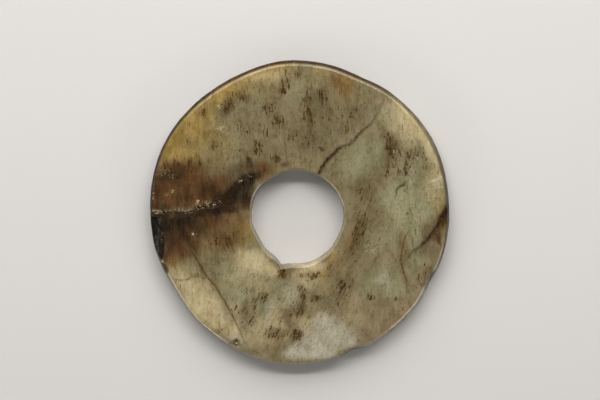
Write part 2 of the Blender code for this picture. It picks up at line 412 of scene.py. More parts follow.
def followLine(x, y, line):
    # distance to the line, with a sign for its side, and the half width, depth and darkness there
    places = [onFace(*point[:2]) for point in line]
    nearest = np.full(len(x), 1.0)
    side = np.ones(len(x))
    along = np.zeros(len(x))
    for i, ((ax, ay), (bx, by)) in enumerate(zip(places, places[1:])):
        dx, dy = bx - ax, by - ay
        part = np.clip(((x - ax) * dx + (y - ay) * dy) / (dx * dx + dy * dy), 0, 1)
        offX, offY = x - ax - part * dx, y - ay - part * dy
        away = np.hypot(offX, offY)
        closer = away < nearest
        nearest = np.where(closer, away, nearest)
        side = np.where(closer, np.where(dx * offY - dy * offX < 0, -1, 1), side)
        along = np.where(closer, i + part, along)
    steps = np.arange(len(line))
    values = [np.interp(along, steps, [point[k] for point in line]) for k in (2, 3, 4)]
    return nearest * side, values


def followAll(points, lines):
    # of a set of lines, the nearest one's signed distance, half width, depth and darkness; the
    # places are shaken a little first, so that the drawn lines wander as cracks do
    shakeX = waves(points, "crackWander", 3) + waves(points, "crackShake", 4)
    shakeY = waves(points, "crackWander", 5) + waves(points, "crackShake", 6)
    x, y = points[:, 0] + shakeX * mm, points[:, 1] + shakeY * mm
    best = np.full(len(points), 1.0)
    found = [np.zeros(len(points)) for _ in range(3)]
    for line in lines.values():
        away, values = followLine(x, y, line)
        closer = np.abs(away) < np.abs(best)
        best = np.where(closer, away, best)
        found = [np.where(closer, new, old) for new, old in zip(values, found)]
    return best, found


# Where the stone is divided more finely: within each reach of the cracks, and for the last one of
# the fissures alone, down to a depth; round pits and scars it is a share of the reach
divide = {
    "reaches": (1.7 * mm, 1.0 * mm),
    "lastReach": 0.5 * mm,
    "depth": 1.2 * mm,
    "pitShare": 0.4,
    "scarShare": 0.25,
}


def nearDamage(places, reach, lines, chips):
    # which places lie within reach of a line, or of a pit or a scar where chips is True
    x, y = places[:, 0], places[:, 1]
    front = places[:, 2] > disc["thickness"] - divide["depth"]
    near = np.zeros(len(places), bool)
    for line in lines:
        away, _ = followLine(x, y, line)
        near |= (np.abs(away) < reach) & front
    if not chips:
        return near
    for pixelX, pixelY, radius, _ in pits:
        px, py = onFace(pixelX, pixelY)
        near |= (np.hypot(x - px, y - py) < radius * mm + divide["pitShare"] * reach) & front
    for spall in spalls:
        centre, size, _ = spallBall(*spall[:6])
        near |= np.linalg.norm(places - centre, axis=1) < size + divide["scarShare"] * reach
    return near


def divideNear(ring):
    # the stone is divided more finely where it is cracked, chipped or pitted
    cracks = (*fissures.values(), *veins.values(), *scratches.values())
    rounds = [(reach, cracks) for reach in divide["reaches"]]
    for reach, lines in (*rounds, (divide["lastReach"], fissures.values())):
        bpy.ops.object.mode_set(mode="EDIT")
        pick("FACE", lambda middles: nearDamage(middles, reach, lines, lines is cracks))
        bpy.ops.mesh.subdivide(number_cuts=1)
        bpy.ops.object.mode_set(mode="OBJECT")


def spallBall(angle, length, reach, drop, side, stop):
    # a large ball whose surface is the scar: its centre and radius, and the way that it was struck
    length, reach, drop = length * mm, reach * mm, drop * mm
    onTop = length**2 / (8 * reach) + reach / 2
    above = (2 * onTop * reach - reach**2 - drop**2) / (2 * drop)
    rimMove, _ = outlineMoves(np.array([float(angle)]), np.array([1.0]))
    turn = math.radians(angle)
    outward = np.array([math.cos(turn), math.sin(turn), 0])
    centre = outward * (disc["outerRadius"] + rimMove[0] - disc["rimBulge"] + onTop - reach)
    up = 1 if side == "front" else -1
    centre[2] = disc["thickness"] + above if side == "front" else -above
    struck = -outward * drop - np.array([0, 0, up * reach])
    return centre, math.hypot(onTop, above), struck / np.linalg.norm(struck)


def breakRim(points):
    # each scar follows its ball, with the small steps and shell marks of broken stone
    scar = np.zeros(len(points))
    for number, spall in enumerate(spalls):
        centre, size, struck = spallBall(*spall[:6])
        offset = points - centre
        gap = np.einsum("ij,ij->i", offset, offset) - size**2
        inside = gap < 0
        if spall[5] is not None:
            turn = math.radians(spall[5])
            across = np.array([-math.sin(turn), math.cos(turn), 0])
            inside &= points @ across + waves(points, "breakWander", 11) * mm > 0
        hit = np.where(inside)[0]
        along = offset[hit] @ struck
        travel = np.sqrt(np.maximum(along**2 - gap[hit], 0)) - along
        rough = waves(points[hit], "scarCoarse", 20 + number)
        rough += waves(points[hit], "scarFine", 30 + number)
        rough -= np.abs(waves(points[hit], "scarShell", 40 + number))
        travel = travel + np.minimum(travel, wear["scarSteps"] * mm) * rough
        points[hit] += travel[:, None] * struck
        # each scar is painted dark as shade, by its spall's last value
        scar[hit] = np.maximum(scar[hit], spall[6] * fade(travel, "paintedScarShade"))
    return scar


def wearStone(ring):
    points = readPoints(ring)
    flat = points * (1, 1, 0)
    down = disc["thickness"] - points[:, 2]
    front = fade(down, "faceOnly")
    radius = np.hypot(points[:, 0], points[:, 1])
    # the faces were ground by hand, so they swell and sink a little; the back stays flat to lie on
    swell = waves(flat, "faceSwell", 1) + waves(flat, "faceRipple", 2)
    points[:, 2] += (swell - wear["faceGround"]) * mm * front
    # the rim's edges are worn unevenly
    rimward = fade(disc["outerRadius"] - radius, "rimWorn")
    wander = waves(points, "edgeWander", 7) + waves(points, "edgeNibble", 8)
    outward = flat / radius[:, None]
    points += outward * ((wander - wear["edgeGround"]) * mm * rimward)[:, None]
    # the turning drill left faint rings in the bore, and its edge is nibbled
    wall = fade(radius - disc["boreRadius"], "boreWorn")
    for depth in (disc["thickness"] - points[:, 2], points[:, 2]):
        wall = wall * fade(depth, "wallFromEdge")
    height, length = wear["drillRings"]
    rings = height * np.sin(points[:, 2] / (length * mm)) + waves(points, "boreNibble", 9)
    points -= outward * (rings * mm * wall)[:, None]
    scar = breakRim(points)
    away, (width, depth, _) = followAll(points, fissures)
    rough = 1 + waves(points, "crackRagged", 12)
    groove = depth * mm * rough * ease(np.abs(away), width * mm * rough, 0.15 * width * mm)
    veinAway, (veinWidth, veinDepth, _) = followAll(points, veins)
    groove += veinDepth * mm * ease(np.abs(veinAway), veinWidth * mm, 0.1 * mm)
    # the lips of the main fissure are crumbled, most of all where it is deep
    left, (_, leftDepth, _) = followLine(points[:, 0], points[:, 1], fissures["left"])
    lip = fade(np.abs(left), "lipBroken") * np.clip(leftDepth / 0.2, 0, 1)
    crumble, length = wear["lipCrumble"]
    groove += lip * crumble * mm * np.clip(ripple(points, length * mm, 13) + 0.1, 0, 1)
    for pixelX, pixelY, size, deep in pits:
        px, py = onFace(pixelX, pixelY)
        off = np.hypot(points[:, 0] - px, points[:, 1] - py) / (size * mm)
        off = off + waves(points, "pitRagged", 14)
        groove += deep * mm * ease(off, 1.0, 0.35)
    points[:, 2] -= groove * front
    writePoints(ring, points)
    return scar


# Each stain has two sRGB colours that the grain mixes, how ragged its edge is, and its spots as
# pixels of the photograph: x, y, half width, half height, turn in degrees and strength.
# They are laid over one another in this order.
stains = {
    "tan": {
        "colours": ("#958467", "#77674b"),
        "ragged": 0.5,
        "spots": (
            (405, 308, 22, 14, 45, 0.9), (378, 326, 24, 14, 20, 0.9), (426, 270, 9, 16, 10, 0.5),
            (378, 98, 10, 8, 0, 0.4), (352, 298, 18, 14, 0, 0.5), (420, 244, 16, 10, -45, 0.7),
            (432, 240, 10, 16, 0, 0.6), (426, 288, 10, 16, -20, 0.8), (356, 344, 16, 8, 20, 0.7),
            (338, 262, 14, 12, 20, 0.5), (305, 285, 14, 14, 0, 0.35), (255, 335, 16, 16, 0, 0.55),
            (288, 325, 10, 22, -20, 0.5), (268, 352, 16, 8, 0, 0.6), (300, 145, 20, 12, 0, 0.4),
            (395, 172, 16, 26, -10, 0.35), (345, 130, 14, 16, 0, 0.35),
        ),
    },
    "celadon": {
        "colours": ("#949270", "#7e7a58"),
        "ragged": 0.3,
        "spots": (
            (418, 196, 26, 44, 0, 0.8), (412, 232, 20, 22, 0, 0.6), (368, 160, 26, 14, 40, 0.6),
            (392, 282, 24, 18, 0, 0.6), (262, 290, 22, 22, 0, 0.5), (250, 320, 18, 16, 0, 0.3),
            (356, 156, 18, 14, 40, 0.65), (346, 172, 12, 12, 0, 0.6), (405, 204, 20, 22, 0, 1),
            (420, 224, 14, 18, -30, 0.85), (392, 196, 12, 12, 0, 0.5), (380, 240, 14, 14, 0, 0.45),
            (384, 284, 20, 16, 0, 0.85), (420, 258, 14, 7, 25, 0.65), (268, 306, 8, 24, -15, 0.7),
            (238, 288, 15, 20, 0, 0.75), (230, 272, 14, 12, 0, 0.5), (296, 92, 9, 12, 0, 0.45),
            (288, 300, 10, 8, 0, 0.45), (374, 118, 8, 12, -30, 0.5),
        ),
    },
    "ochre": {
        "colours": ("#a88d4d", "#82682f"),
        "ragged": 0.35,
        "spots": (
            (172, 144, 18, 30, 25, 1), (190, 120, 19, 26, 40, 0.9), (222, 92, 26, 12, 32, 0.9),
            (262, 72, 30, 9, 12, 1), (204, 128, 16, 26, 30, 0.3), (250, 88, 40, 14, 20, 0.25),
            (196, 150, 10, 20, 0, 0.7), (214, 104, 8, 12, 0, 0.5), (222, 150, 12, 18, 0, 0.3),
            (168, 264, 9, 7, 30, 0.8), (330, 262, 6, 12, -30, 0.6), (318, 276, 14, 7, 0, 0.6),
            (246, 232, 8, 16, 0, 0.6), (320, 74, 12, 5, 0, 0.4), (212, 330, 14, 5, 35, 0.6),
            (438, 205, 7, 14, 0, 0.5), (446, 226, 5, 12, 0, 0.5),
        ),
    },
    "rust": {
        "colours": ("#876a39", "#5e4321"),
        "ragged": 0.8,
        "spots": (
            (344, 84, 12, 9, -20, 0.95), (347, 80, 9, 7, 0, 0.8), (340, 90, 12, 11, 0, 0.5),
            (330, 80, 9, 7, 0, 0.5), (345, 96, 9, 8, 0, 0.5), (268, 167, 14, 6, 15, 0.65),
            (218, 332, 6, 5, 0, 0.45), (350, 242, 5, 9, 0, 0.45), (385, 305, 8, 6, 0, 0.3),
        ),
    },
    "cream": {
        "colours": ("#c7b890", "#a9966a"),
        "ragged": 0.3,
        # the spots near the upper right rim, at pixels 402 to 430 across and 106 to 150 down, are partly a
        # painted sheen
        "spots": (
            (196, 298, 26, 20, -45, 0.5), (204, 312, 16, 13, -45, 1), (234, 314, 9, 12, 0, 0.45),
            (222, 330, 9, 6, -35, 0.5), (354, 314, 16, 16, 0, 0.3), (306, 286, 8, 8, 0, 0.5),
            (276, 322, 8, 14, 0, 0.4), (304, 328, 8, 10, 0, 0.5), (246, 276, 24, 16, -20, 0.4),
            (402, 124, 22, 14, -42, 0.55), (268, 334, 16, 16, 0, 0.4), (310, 276, 16, 12, 0, 0.4),
            (268, 76, 20, 8, 0, 0.4), (262, 290, 10, 12, 0, 0.3), (432, 186, 10, 16, 0, 0.5),
            (408, 214, 18, 22, 0, 0.2), (276, 316, 6, 14, -20, 0.5), (262, 330, 8, 10, 0, 0.4),
            (250, 342, 10, 8, 0, 0.4), (404, 114, 18, 8, -42, 1), (418, 130, 16, 12, -50, 0.9),
            (430, 150, 7, 20, 15, 0.9), (437, 174, 6, 14, 5, 0.8), (406, 106, 16, 4, -42, 0.3),
            (254, 263, 18, 9, -20, 0.8), (245, 254, 12, 7, -20, 0.6), (271, 268, 10, 6, -30, 0.9),
            (312, 268, 14, 4, 8, 0.9), (300, 274, 8, 5, 0, 0.4), (186, 284, 18, 13, -50, 0.75),
            (203, 306, 20, 14, -45, 0.95), (212, 320, 14, 9, -40, 0.7), (234, 334, 9, 9, 0, 0.85),
            (275, 76, 16, 4, 5, 0.4),
        ),
    },
    "ash": {
        "colours": ("#beb6a0", "#9c937a"),
        "ragged": 0.45,
        "spots": (
            (323, 327, 12, 12, 0, 0.95), (324, 346, 20, 14, 0, 0.95), (336, 338, 18, 14, 15, 1),
            (316, 355, 24, 7, 0, 1), (294, 354, 9, 9, 0, 0.9), (303, 338, 5, 10, 0, 0.4),
            (346, 346, 14, 6, 20, 0.6), (292, 294, 8, 14, 10, 0.4), (271, 312, 5, 14, -10, 0.5),
            (383, 282, 9, 7, 0, 0.5), (237, 340, 6, 5, 0, 0.7), (410, 176, 5, 8, 0, 0.35),
            (436, 184, 6, 5, 20, 0.5),
        ),
    },
    "smoke": {
        "colours": ("#5f553b", "#4a4129"),
        "ragged": 0.6,
        "spots": (
            (318, 134, 22, 20, 0, 0.45), (192, 146, 10, 9, 0, 0.5), (300, 146, 16, 8, 0, 0.35),
            (360, 116, 14, 14, 0, 0.4), (322, 104, 12, 14, 0, 0.3), (268, 152, 16, 14, 0, 0.3),
            (390, 148, 9, 14, 0, 0.5), (366, 200, 14, 26, 0, 0.3), (358, 236, 8, 24, 0, 0.35),
            (346, 282, 10, 12, 0, 0.3), (428, 276, 8, 14, 0, 0.3), (424, 250, 16, 8, -30, 0.45),
            (444, 220, 6, 12, 0, 0.5), (432, 234, 10, 8, -45, 0.4), (374, 270, 10, 12, 0, 0.3),
            (237, 346, 3, 4, 0, 0.7), (275, 335, 11, 6, 0, 0.5), (297, 337, 7, 6, 30, 0.5),
            (301, 309, 5, 8, -10, 0.75), (368, 244, 4, 4, 0, 0.5), (392, 148, 7, 6, 0, 0.8),
            (244, 98, 9, 5, 0, 0.7), (228, 109, 6, 8, -35, 0.75), (309, 118, 5, 14, 0, 0.6),
            (262, 142, 8, 4, 0, 0.35), (322, 96, 5, 8, 0, 0.6), (252, 299, 5, 12, 0, 0.1),
            (362, 232, 4, 14, -10, 0.55), (364, 190, 10, 12, 30, 0.45), (436, 238, 4, 6, 0, 0.6),
            (342, 115, 12, 16, 0, 0.3),
        ),
    },
    "orange": {
        "colours": ("#7d6138", "#573d1f"),
        "ragged": 0.6,
        "spots": (
            (236, 226, 13, 15, 0, 0.85), (228, 242, 13, 10, 10, 0.9), (212, 236, 12, 16, 0, 0.7),
            (205, 222, 12, 8, 0, 0.6), (282, 272, 5, 9, 0, 0.8), (178, 256, 14, 9, 10, 0.7),
            (166, 262, 7, 7, 0, 0.5), (196, 246, 10, 10, 0, 0.7), (354, 246, 6, 18, -15, 0.4),
            (403, 246, 5, 16, 5, 0.7), (405, 276, 4, 16, 10, 0.4), (352, 240, 7, 22, -10, 0.3),
            (430, 250, 7, 10, 0, 0.2), (340, 270, 5, 14, 0, 0.35), (290, 320, 4, 14, -12, 0.35),
            (277, 346, 5, 10, 0, 0.4), (246, 308, 5, 10, 0, 0.4), (303, 289, 4, 6, 0, 0.25),
        ),
    },
    "russet": {
        "colours": ("#5f3f1f", "#331c0a"),
        "ragged": 0.5,
        "spots": (
            (190, 202, 44, 10, 0, 0.9), (228, 208, 14, 10, 0, 0.8), (262, 172, 12, 9, 30, 0.8),
            (246, 200, 8, 9, 0, 0.85), (432, 230, 11, 12, -45, 0.5), (216, 219, 12, 10, 0, 0.85),
            (220, 230, 8, 10, 0, 0.4), (446, 219, 5, 10, -40, 0.6), (444, 218, 8, 10, -40, 0.9),
            (430, 238, 4, 16, -40, 0.7), (164, 256, 10, 9, 0, 0.7), (208, 170, 20, 11, 8, 0.5),
            (250, 204, 6, 8, 0, 0.7), (166, 188, 18, 22, 0, 1), (188, 182, 22, 19, 0, 1),
            (206, 192, 18, 16, 10, 1), (222, 184, 14, 10, 20, 0.9), (180, 168, 26, 7, 5, 0.85),
            (246, 168, 10, 7, 30, 0.7), (154, 198, 6, 26, 0, 1), (262, 164, 10, 5, 15, 0.5),
            (286, 164, 6, 4, 0, 0.6), (178, 236, 22, 18, -20, 0.95), (196, 226, 18, 14, 0, 0.75),
            (176, 250, 16, 8, 0, 0.7), (442, 216, 6, 8, -40, 0.7), (449, 216, 4, 20, 0, 0.6),
            (437, 238, 4, 7, -20, 0.6), (224, 238, 6, 10, 0, 0.4), (430, 278, 7, 10, -20, 0.35),
        ),
    },
    "umber": {
        "colours": ("#28180b", "#130903"),
        "ragged": 0.45,
        "spots": (
            (232, 199, 14, 7, 35, 0.9), (212, 209, 22, 5, 6, 0.8), (249, 187, 8, 11, 0, 0.85),
            (178, 218, 28, 5, 0, 0.6), (228, 196, 17, 8, 38, 1), (242, 184, 14, 8, 35, 0.85),
            (252, 178, 9, 6, 20, 0.9), (248, 200, 8, 7, 20, 0.75), (163, 258, 7, 7, 0, 0.5),
            # the spots at 164, 224 and 158, 222 are partly painted shadow below the step at the main
            # fissure
            (212, 212, 26, 4, 6, 0.95), (178, 222, 26, 9, 0, 0.8), (164, 224, 9, 14, 0, 1),
            (170, 238, 12, 12, -30, 0.6), (199, 228, 4, 9, 0, 0.5), (178, 173, 9, 8, 30, 0.85),
            (164, 177, 11, 5, 0, 0.75), (207, 191, 14, 6, 30, 0.45), (162, 206, 10, 3, 0, 0.45),
            (186, 236, 4, 14, 30, 0.6), (437, 239, 3, 7, 30, 0.8), (234, 172, 6, 8, -40, 0.45),
            (150, 178, 3, 12, 0, 0.5), (248, 163, 3, 6, 0, 0.6), (447, 211, 4, 7, -30, 0.9),
            (158, 222, 5, 7, 0, 1), (160, 212, 6, 3, 0, 0.5), (216, 198, 10, 8, 30, 0.4),
        ),
    },
}

# Dark flecks lie in clusters: x, y, half width, half height, turn and strength, as above
flecks = (
    (392, 147, 7, 9, -5, 0.95), (386, 134, 4, 12, 10, 0.65), (387, 166, 4, 18, -8, 0.65),
    (398, 166, 8, 14, 0, 0.45), (411, 154, 7, 6, 0, 0.7), (422, 156, 3, 6, 0, 0.7),
    (407, 166, 3, 12, -10, 0.6), (421, 168, 7, 3, 0, 0.5), (366, 190, 12, 14, 0, 0.42),
    (374, 222, 18, 22, 0, 0.36), (358, 234, 7, 20, -10, 0.75), (348, 256, 10, 18, 0, 0.4),
    (410, 214, 5, 6, 0, 0.6), (251, 290, 7, 4, 0, 0.6), (263, 298, 6, 7, 0, 0.95),
    (254, 302, 3, 10, 0, 0.8), (240, 312, 8, 8, 0, 0.6), (248, 322, 8, 12, 0, 0.45),
    (282, 273, 5, 8, 0, 0.9), (303, 293, 5, 9, 20, 0.95), (316, 299, 7, 5, 0, 1),
    (300, 309, 5, 10, -10, 0.75), (290, 318, 7, 16, -20, 0.4), (312, 276, 16, 6, 0, 0.7),
    (330, 268, 5, 10, 0, 0.6), (342, 284, 4, 7, 0, 0.95), (342, 296, 10, 14, 0, 0.55),
    (352, 284, 6, 6, 0, 0.5), (275, 334, 12, 7, 0, 0.9), (296, 337, 7, 7, 20, 0.95),
    (372, 298, 7, 4, 0, 0.75), (396, 300, 10, 4, 0, 0.5), (422, 278, 8, 12, 0, 0.5),
    (268, 356, 6, 8, 0, 0.4), (309, 110, 7, 22, 0, 0.7), (322, 97, 5, 8, 0, 0.85),
    (330, 122, 4, 18, -8, 0.45), (270, 108, 7, 8, 0, 0.75), (279, 121, 8, 7, -30, 0.85),
    (285, 80, 5, 11, 0, 0.7), (298, 74, 4, 8, 0, 0.7), (282, 92, 5, 5, 0, 0.8),
    (250, 130, 16, 14, 0, 0.3), (244, 97, 8, 6, 0, 0.7), (228, 108, 6, 9, -30, 0.75),
    (203, 113, 4, 5, 0, 0.9), (217, 146, 5, 7, -20, 0.75), (258, 150, 6, 9, 0, 0.7),
    (266, 134, 5, 5, 0, 0.5), (292, 136, 8, 4, 40, 0.7), (308, 142, 14, 8, 0, 0.55),
    (323, 149, 3, 3, 0, 0.8), (276, 158, 6, 8, 0, 0.75), (286, 164, 6, 3, 0, 0.8),
    (248, 162, 3, 7, 0, 0.9), (216, 240, 5, 8, 0, 0.8), (227, 243, 4, 8, 0, 0.85),
    (235, 238, 4, 10, 0, 0.6), (209, 216, 6, 5, 0, 0.6), (221, 218, 3, 9, 0, 0.6),
    (198, 226, 4, 8, 0, 0.7), (178, 178, 22, 14, 0, 0.5), (190, 165, 26, 8, 0, 0.5),
    (350, 120, 14, 20, 0, 0.35), (218, 326, 3, 6, 0, 0.7), (236, 344, 3, 4, -30, 1),
    (225, 329, 4, 4, 0, 0.6), (218, 333, 5, 3, 0, 0.5), (430, 268, 7, 4, 0, 0.5),
    (376, 262, 3, 6, 0, 0.6),
)

# Pale crumbs of fresh stone on the broken lips, and painted glints on the rim and in pits, drawn the same
# way
crumbs = (
    (197, 206, 4, 3.5, -20, 1), (199, 201, 2.5, 2.5, 0, 0.8), (208, 203, 4, 2.5, 20, 0.8),
    (214, 204.5, 6, 2, 15, 0.8), (219, 201, 3, 2.5, 40, 0.8), (186, 210.5, 5, 1.6, 0, 0.35),
    (176, 210, 3, 2, 0, 0.8), (156, 212, 6, 1.8, 5, 1), (166, 211, 5, 1.4, 0, 0.25),
    (241, 180, 1.6, 3, -30, 0.8), (248, 176, 4, 1.2, 0, 0.5), (257, 172.5, 1.6, 3, 0, 0.9),
    (172, 178, 2, 2, 0, 0.3), (164, 173, 10, 3, 0, 0.35), (173, 191, 1.5, 2, 0, 0.7),
    (168, 196, 3, 2, 0, 0.35), (152, 186, 1.5, 22, 0, 0.45), (193, 234, 3.5, 2, 0, 0.95),
    (152, 172, 2, 5, 0, 0.9), (151.5, 194, 2.5, 5, 0, 0.9), (153, 181, 2, 4, 0, 0.7),
    (394.6, 151.5, 2, 2, 0, 1), (219.5, 108, 2, 3, 0, 0.9), (222, 129, 7, 3, -20, 0.5),
    (434, 180, 7, 2, 20, 0.8), (436, 186, 5, 2, 0, 0.9), (437, 186, 2, 2, 0, 1),
    (372, 249, 7, 6, 0, 0.45), (159, 242, 2, 3, 0, 0.9), (162, 265, 3, 3, 0, 0.7),
)

# Where the grain leans to the right, drawn the same way
slants = (
    (296, 318, 60, 48, 0, 1), (250, 300, 30, 40, 0, 1), (362, 215, 22, 55, 0, 1),
    (350, 290, 30, 40, 0, 0.8),
)

rimLook = {
    # stretches where the rim's painted shade is weaker and ones that get a painted pale reflection:
    # middle angle, half width and strength
    "lessShaded": ((22, 42, 0.25),),
    "paleReflectionArc": ((270, 84, 1),),
    "shadeLost": 0.5,
    "reflectionAtBottom": 0.35,
    "boreReflection": 0.75,
}

# How far across and along the face a stain moves for each mm that it runs into the stone, and how
# much it strays from that, over what length. Flecks wander by a share of what the stains do.
stainRun = {
    "across": 0.35,
    "along": 0.55,
    "stray": 0.3,
    "length": 30 * mm,
    "fleckShare": 0.3,
}


def spotsAt(places, spots):
    # how far inside the spots each place is, 0 to 1, with soft edges
    x, y = places
    outside = np.ones(len(x))
    for pixelX, pixelY, wide, high, turn, strength in spots:
        px, py = onFace(pixelX, pixelY)
        c, s = math.cos(math.radians(turn)), math.sin(math.radians(turn))
        alongX = ((x - px) * c + (y - py) * s) / (wide * photo["pixel"])
        alongY = ((y - py) * c - (x - px) * s) / (high * photo["pixel"])
        outside *= 1 - strength * ease(np.hypot(alongX, alongY), 1.6, 0.2)
    return 1 - outside


def around(angle, stretches):
    # how strongly each angle lies in the stretches, 0 to 1
    total = np.zeros(len(angle))
    for middle, half, strength in stretches:
        away = np.abs((angle - middle + 180) % 360 - 180)
        total = np.maximum(total, strength * ease(away, half, 0.6 * half))
    return total


def markStone(ring, scar):
    # writes on the ring's points where each stain and mark is, and returns the marks' names
    points = readPoints(ring)
    # a stain runs into the stone at a slant, so the back shows the same ones moved and softer
    down = disc["thickness"] - points[:, 2]
    places = points.copy()
    stray, length = stainRun["stray"], stainRun["length"]
    places[:, 0] += down * (stainRun["across"] + stray * ripple(points, length, 50))
    places[:, 1] -= down * (stainRun["along"] + stray * ripple(points, length, 51))
    warpX = mm * (waves(points, "stainAcross", 52) + waves(points, "stainAcrossFine", 53))
    warpY = mm * (waves(points, "stainUp", 54) + waves(points, "stainUpFine", 55))
    soft = places[:, 0] + warpX, places[:, 1] + warpY
    share = stainRun["fleckShare"]
    near = places[:, 0] + share * warpX, places[:, 1] + share * warpY
    front = fade(down, "frontMarks")
    marks = {name: spotsAt(soft, stain["spots"]) for name, stain in stains.items()}
    marks["flecks"] = spotsAt(near, flecks)
    # pale crumbs, and painted glints
    marks["crumbs"] = spotsAt((points[:, 0], points[:, 1]), crumbs) * front
    # a crack's line is drawn a little narrower than its groove, and only near it
    lineReach, lineWidth = 3 * mm, 0.95
    for name, lines in (("fissure", fissures), ("vein", veins), ("scratch", scratches)):
        away, (width, _, dark) = followAll(points, lines)
        inReach = np.abs(away) < lineReach
        marks[name + "Away"] = np.clip(away / mm, -4, 4)
        marks[name + "Width"] = np.where(inReach, width * lineWidth, 0)
        marks[name + "Dark"] = np.where(inReach, dark, 0) * front
    # the grain leans to the right below the bore and beside it
    marks["slant"] = spotsAt(soft, slants)
    # the rim gets dark brown painted shade above and a grey painted pale reflection below, and the bore's
    # front edge gets that reflection too; the rim's front edge is a polished facet
    radius = np.hypot(points[:, 0], points[:, 1])
    angle = np.degrees(np.arctan2(points[:, 1], points[:, 0]))
    paleReflectionArc = around(angle, rimLook["paleReflectionArc"])
    outer = fade(disc["outerRadius"] - radius, "rimInside")
    paintedRimShade = outer * fade(down, "rimShadeBelow") * (1 - around(angle, rimLook["lessShaded"]))
    marks["rim"] = paintedRimShade * (1 - rimLook["shadeLost"] * paleReflectionArc)
    left = rimLook["reflectionAtBottom"]
    lower = outer * fade(down, "paleReflectionBelow") * (left + (1 - left) * fade(down, "paleReflectionLowest"))
    inner = fade(radius - disc["boreRadius"], "boreBeyond")
    inner = inner * fade(down, "paleReflectionBelow") * fade(down, "boreReflectionEnd")
    marks["paintedReflectionMask"] = np.maximum(paleReflectionArc * lower, rimLook["boreReflection"] * inner)
    marks["facet"] = fade(down, "facetBelow") * fade(down, "facetEnd")
    # the scars get painted shade; the large one is black by its fissure and has a painted blue-grey
    # reflection further down
    marks["scar"] = scar
    marks["scarDeep"] = fade(down, "scarReflectionBelow") * fade(points[:, 1], "scarReflectionAlong")
    for name, values in marks.items():
        layer = ring.data.attributes.new(name, "FLOAT", "POINT")
        layer.data.foreach_set("value", np.asarray(values, np.float32))
    return list(marks)


stone = {
    "olive": ("#887b58", "#6a5e40"),
    "sage": "#757558",
    "fleck": "#38240a",
    "fleckStain": "#6b5028",
    "speck": "#1b1005",
    "vein": "#4c381f",
    "veinHalo": "#6f5a38",
    "fissure": "#2b1806",
    "fissureHalo": "#2e1e0e",
    "scratch": "#cfc6a8",
    "scratchHalo": "#a89c78",
    # pale crumbs, and painted glints
    "crumb": "#d2c29c",
    # painted shade over the top of the rim, and a painted pale reflection on its lower part and the bore's
    # front edge
    "rimPaintedShade": "#2c1a06",
    "rimPaintedReflection": "#a5987f",
    # painted shade in the scars, and a painted blue-grey reflection down the large one
    "paintedScarShade": "#17110c",
    "paintedScarReflection": "#46443f",
    # real nephrite fibres are far finer; they are drawn as coarse as it takes for the render to show them
    "grainWidth": 0.85 * mm,
    "grainLength": 3.3 * mm,
    "uprightLean": math.radians(4),
    "slantLean": math.radians(-22),
    "speckSize": 0.9 * mm,
    "mottle": 2.4 * mm,
    "cloud": 13 * mm,
    "ior": 1.61,
    "roughness": (0.17, 0.25),
    "facetRoughness": 0.12,
    "rimRoughness": 0.6,
    "specular": 0.5,
    "rimSpecular": 0.06,
    "shineTint": "#fff3e2",
    "bump": 0.3,
    "bumpDepth": 0.05 * mm,
    # how much light the stone lets in, and how far red, green and blue go
    "glow": 0.1,
    "glowReach": (1.0, 0.85, 0.5),
    "glowDepth": 0.5 * mm,
}


def linear(colour):
    # an sRGB hex colour as the linear values that a shader takes
    parts = [int(colour[i : i + 2], 16) / 255 for i in (1, 3, 5)]
    return (*[p / 12.92 if p <= 0.04045 else ((p + 0.055) / 1.055) ** 2.4 for p in parts], 1)


def addNode(tree, kind, settings, links):
    # a node with its settings; what a link brings is a node, a socket, a number or a hex colour
    node = tree.nodes.new("ShaderNode" + kind)
    for name, value in settings.items():
        setattr(node, name, value)
    for name, source in links.items():
        inUse = [socket for socket in node.inputs if socket.enabled and socket.name == name]
        socket = node.inputs[name] if isinstance(name, int) else inUse[0]
        if isinstance(source, bpy.types.Node):
            source = [socket for socket in source.outputs if socket.enabled][0]
        if isinstance(source, bpy.types.NodeSocket):
            tree.links.new(source, socket)
        else:
            socket.default_value = linear(source) if isinstance(source, str) else source
    return node


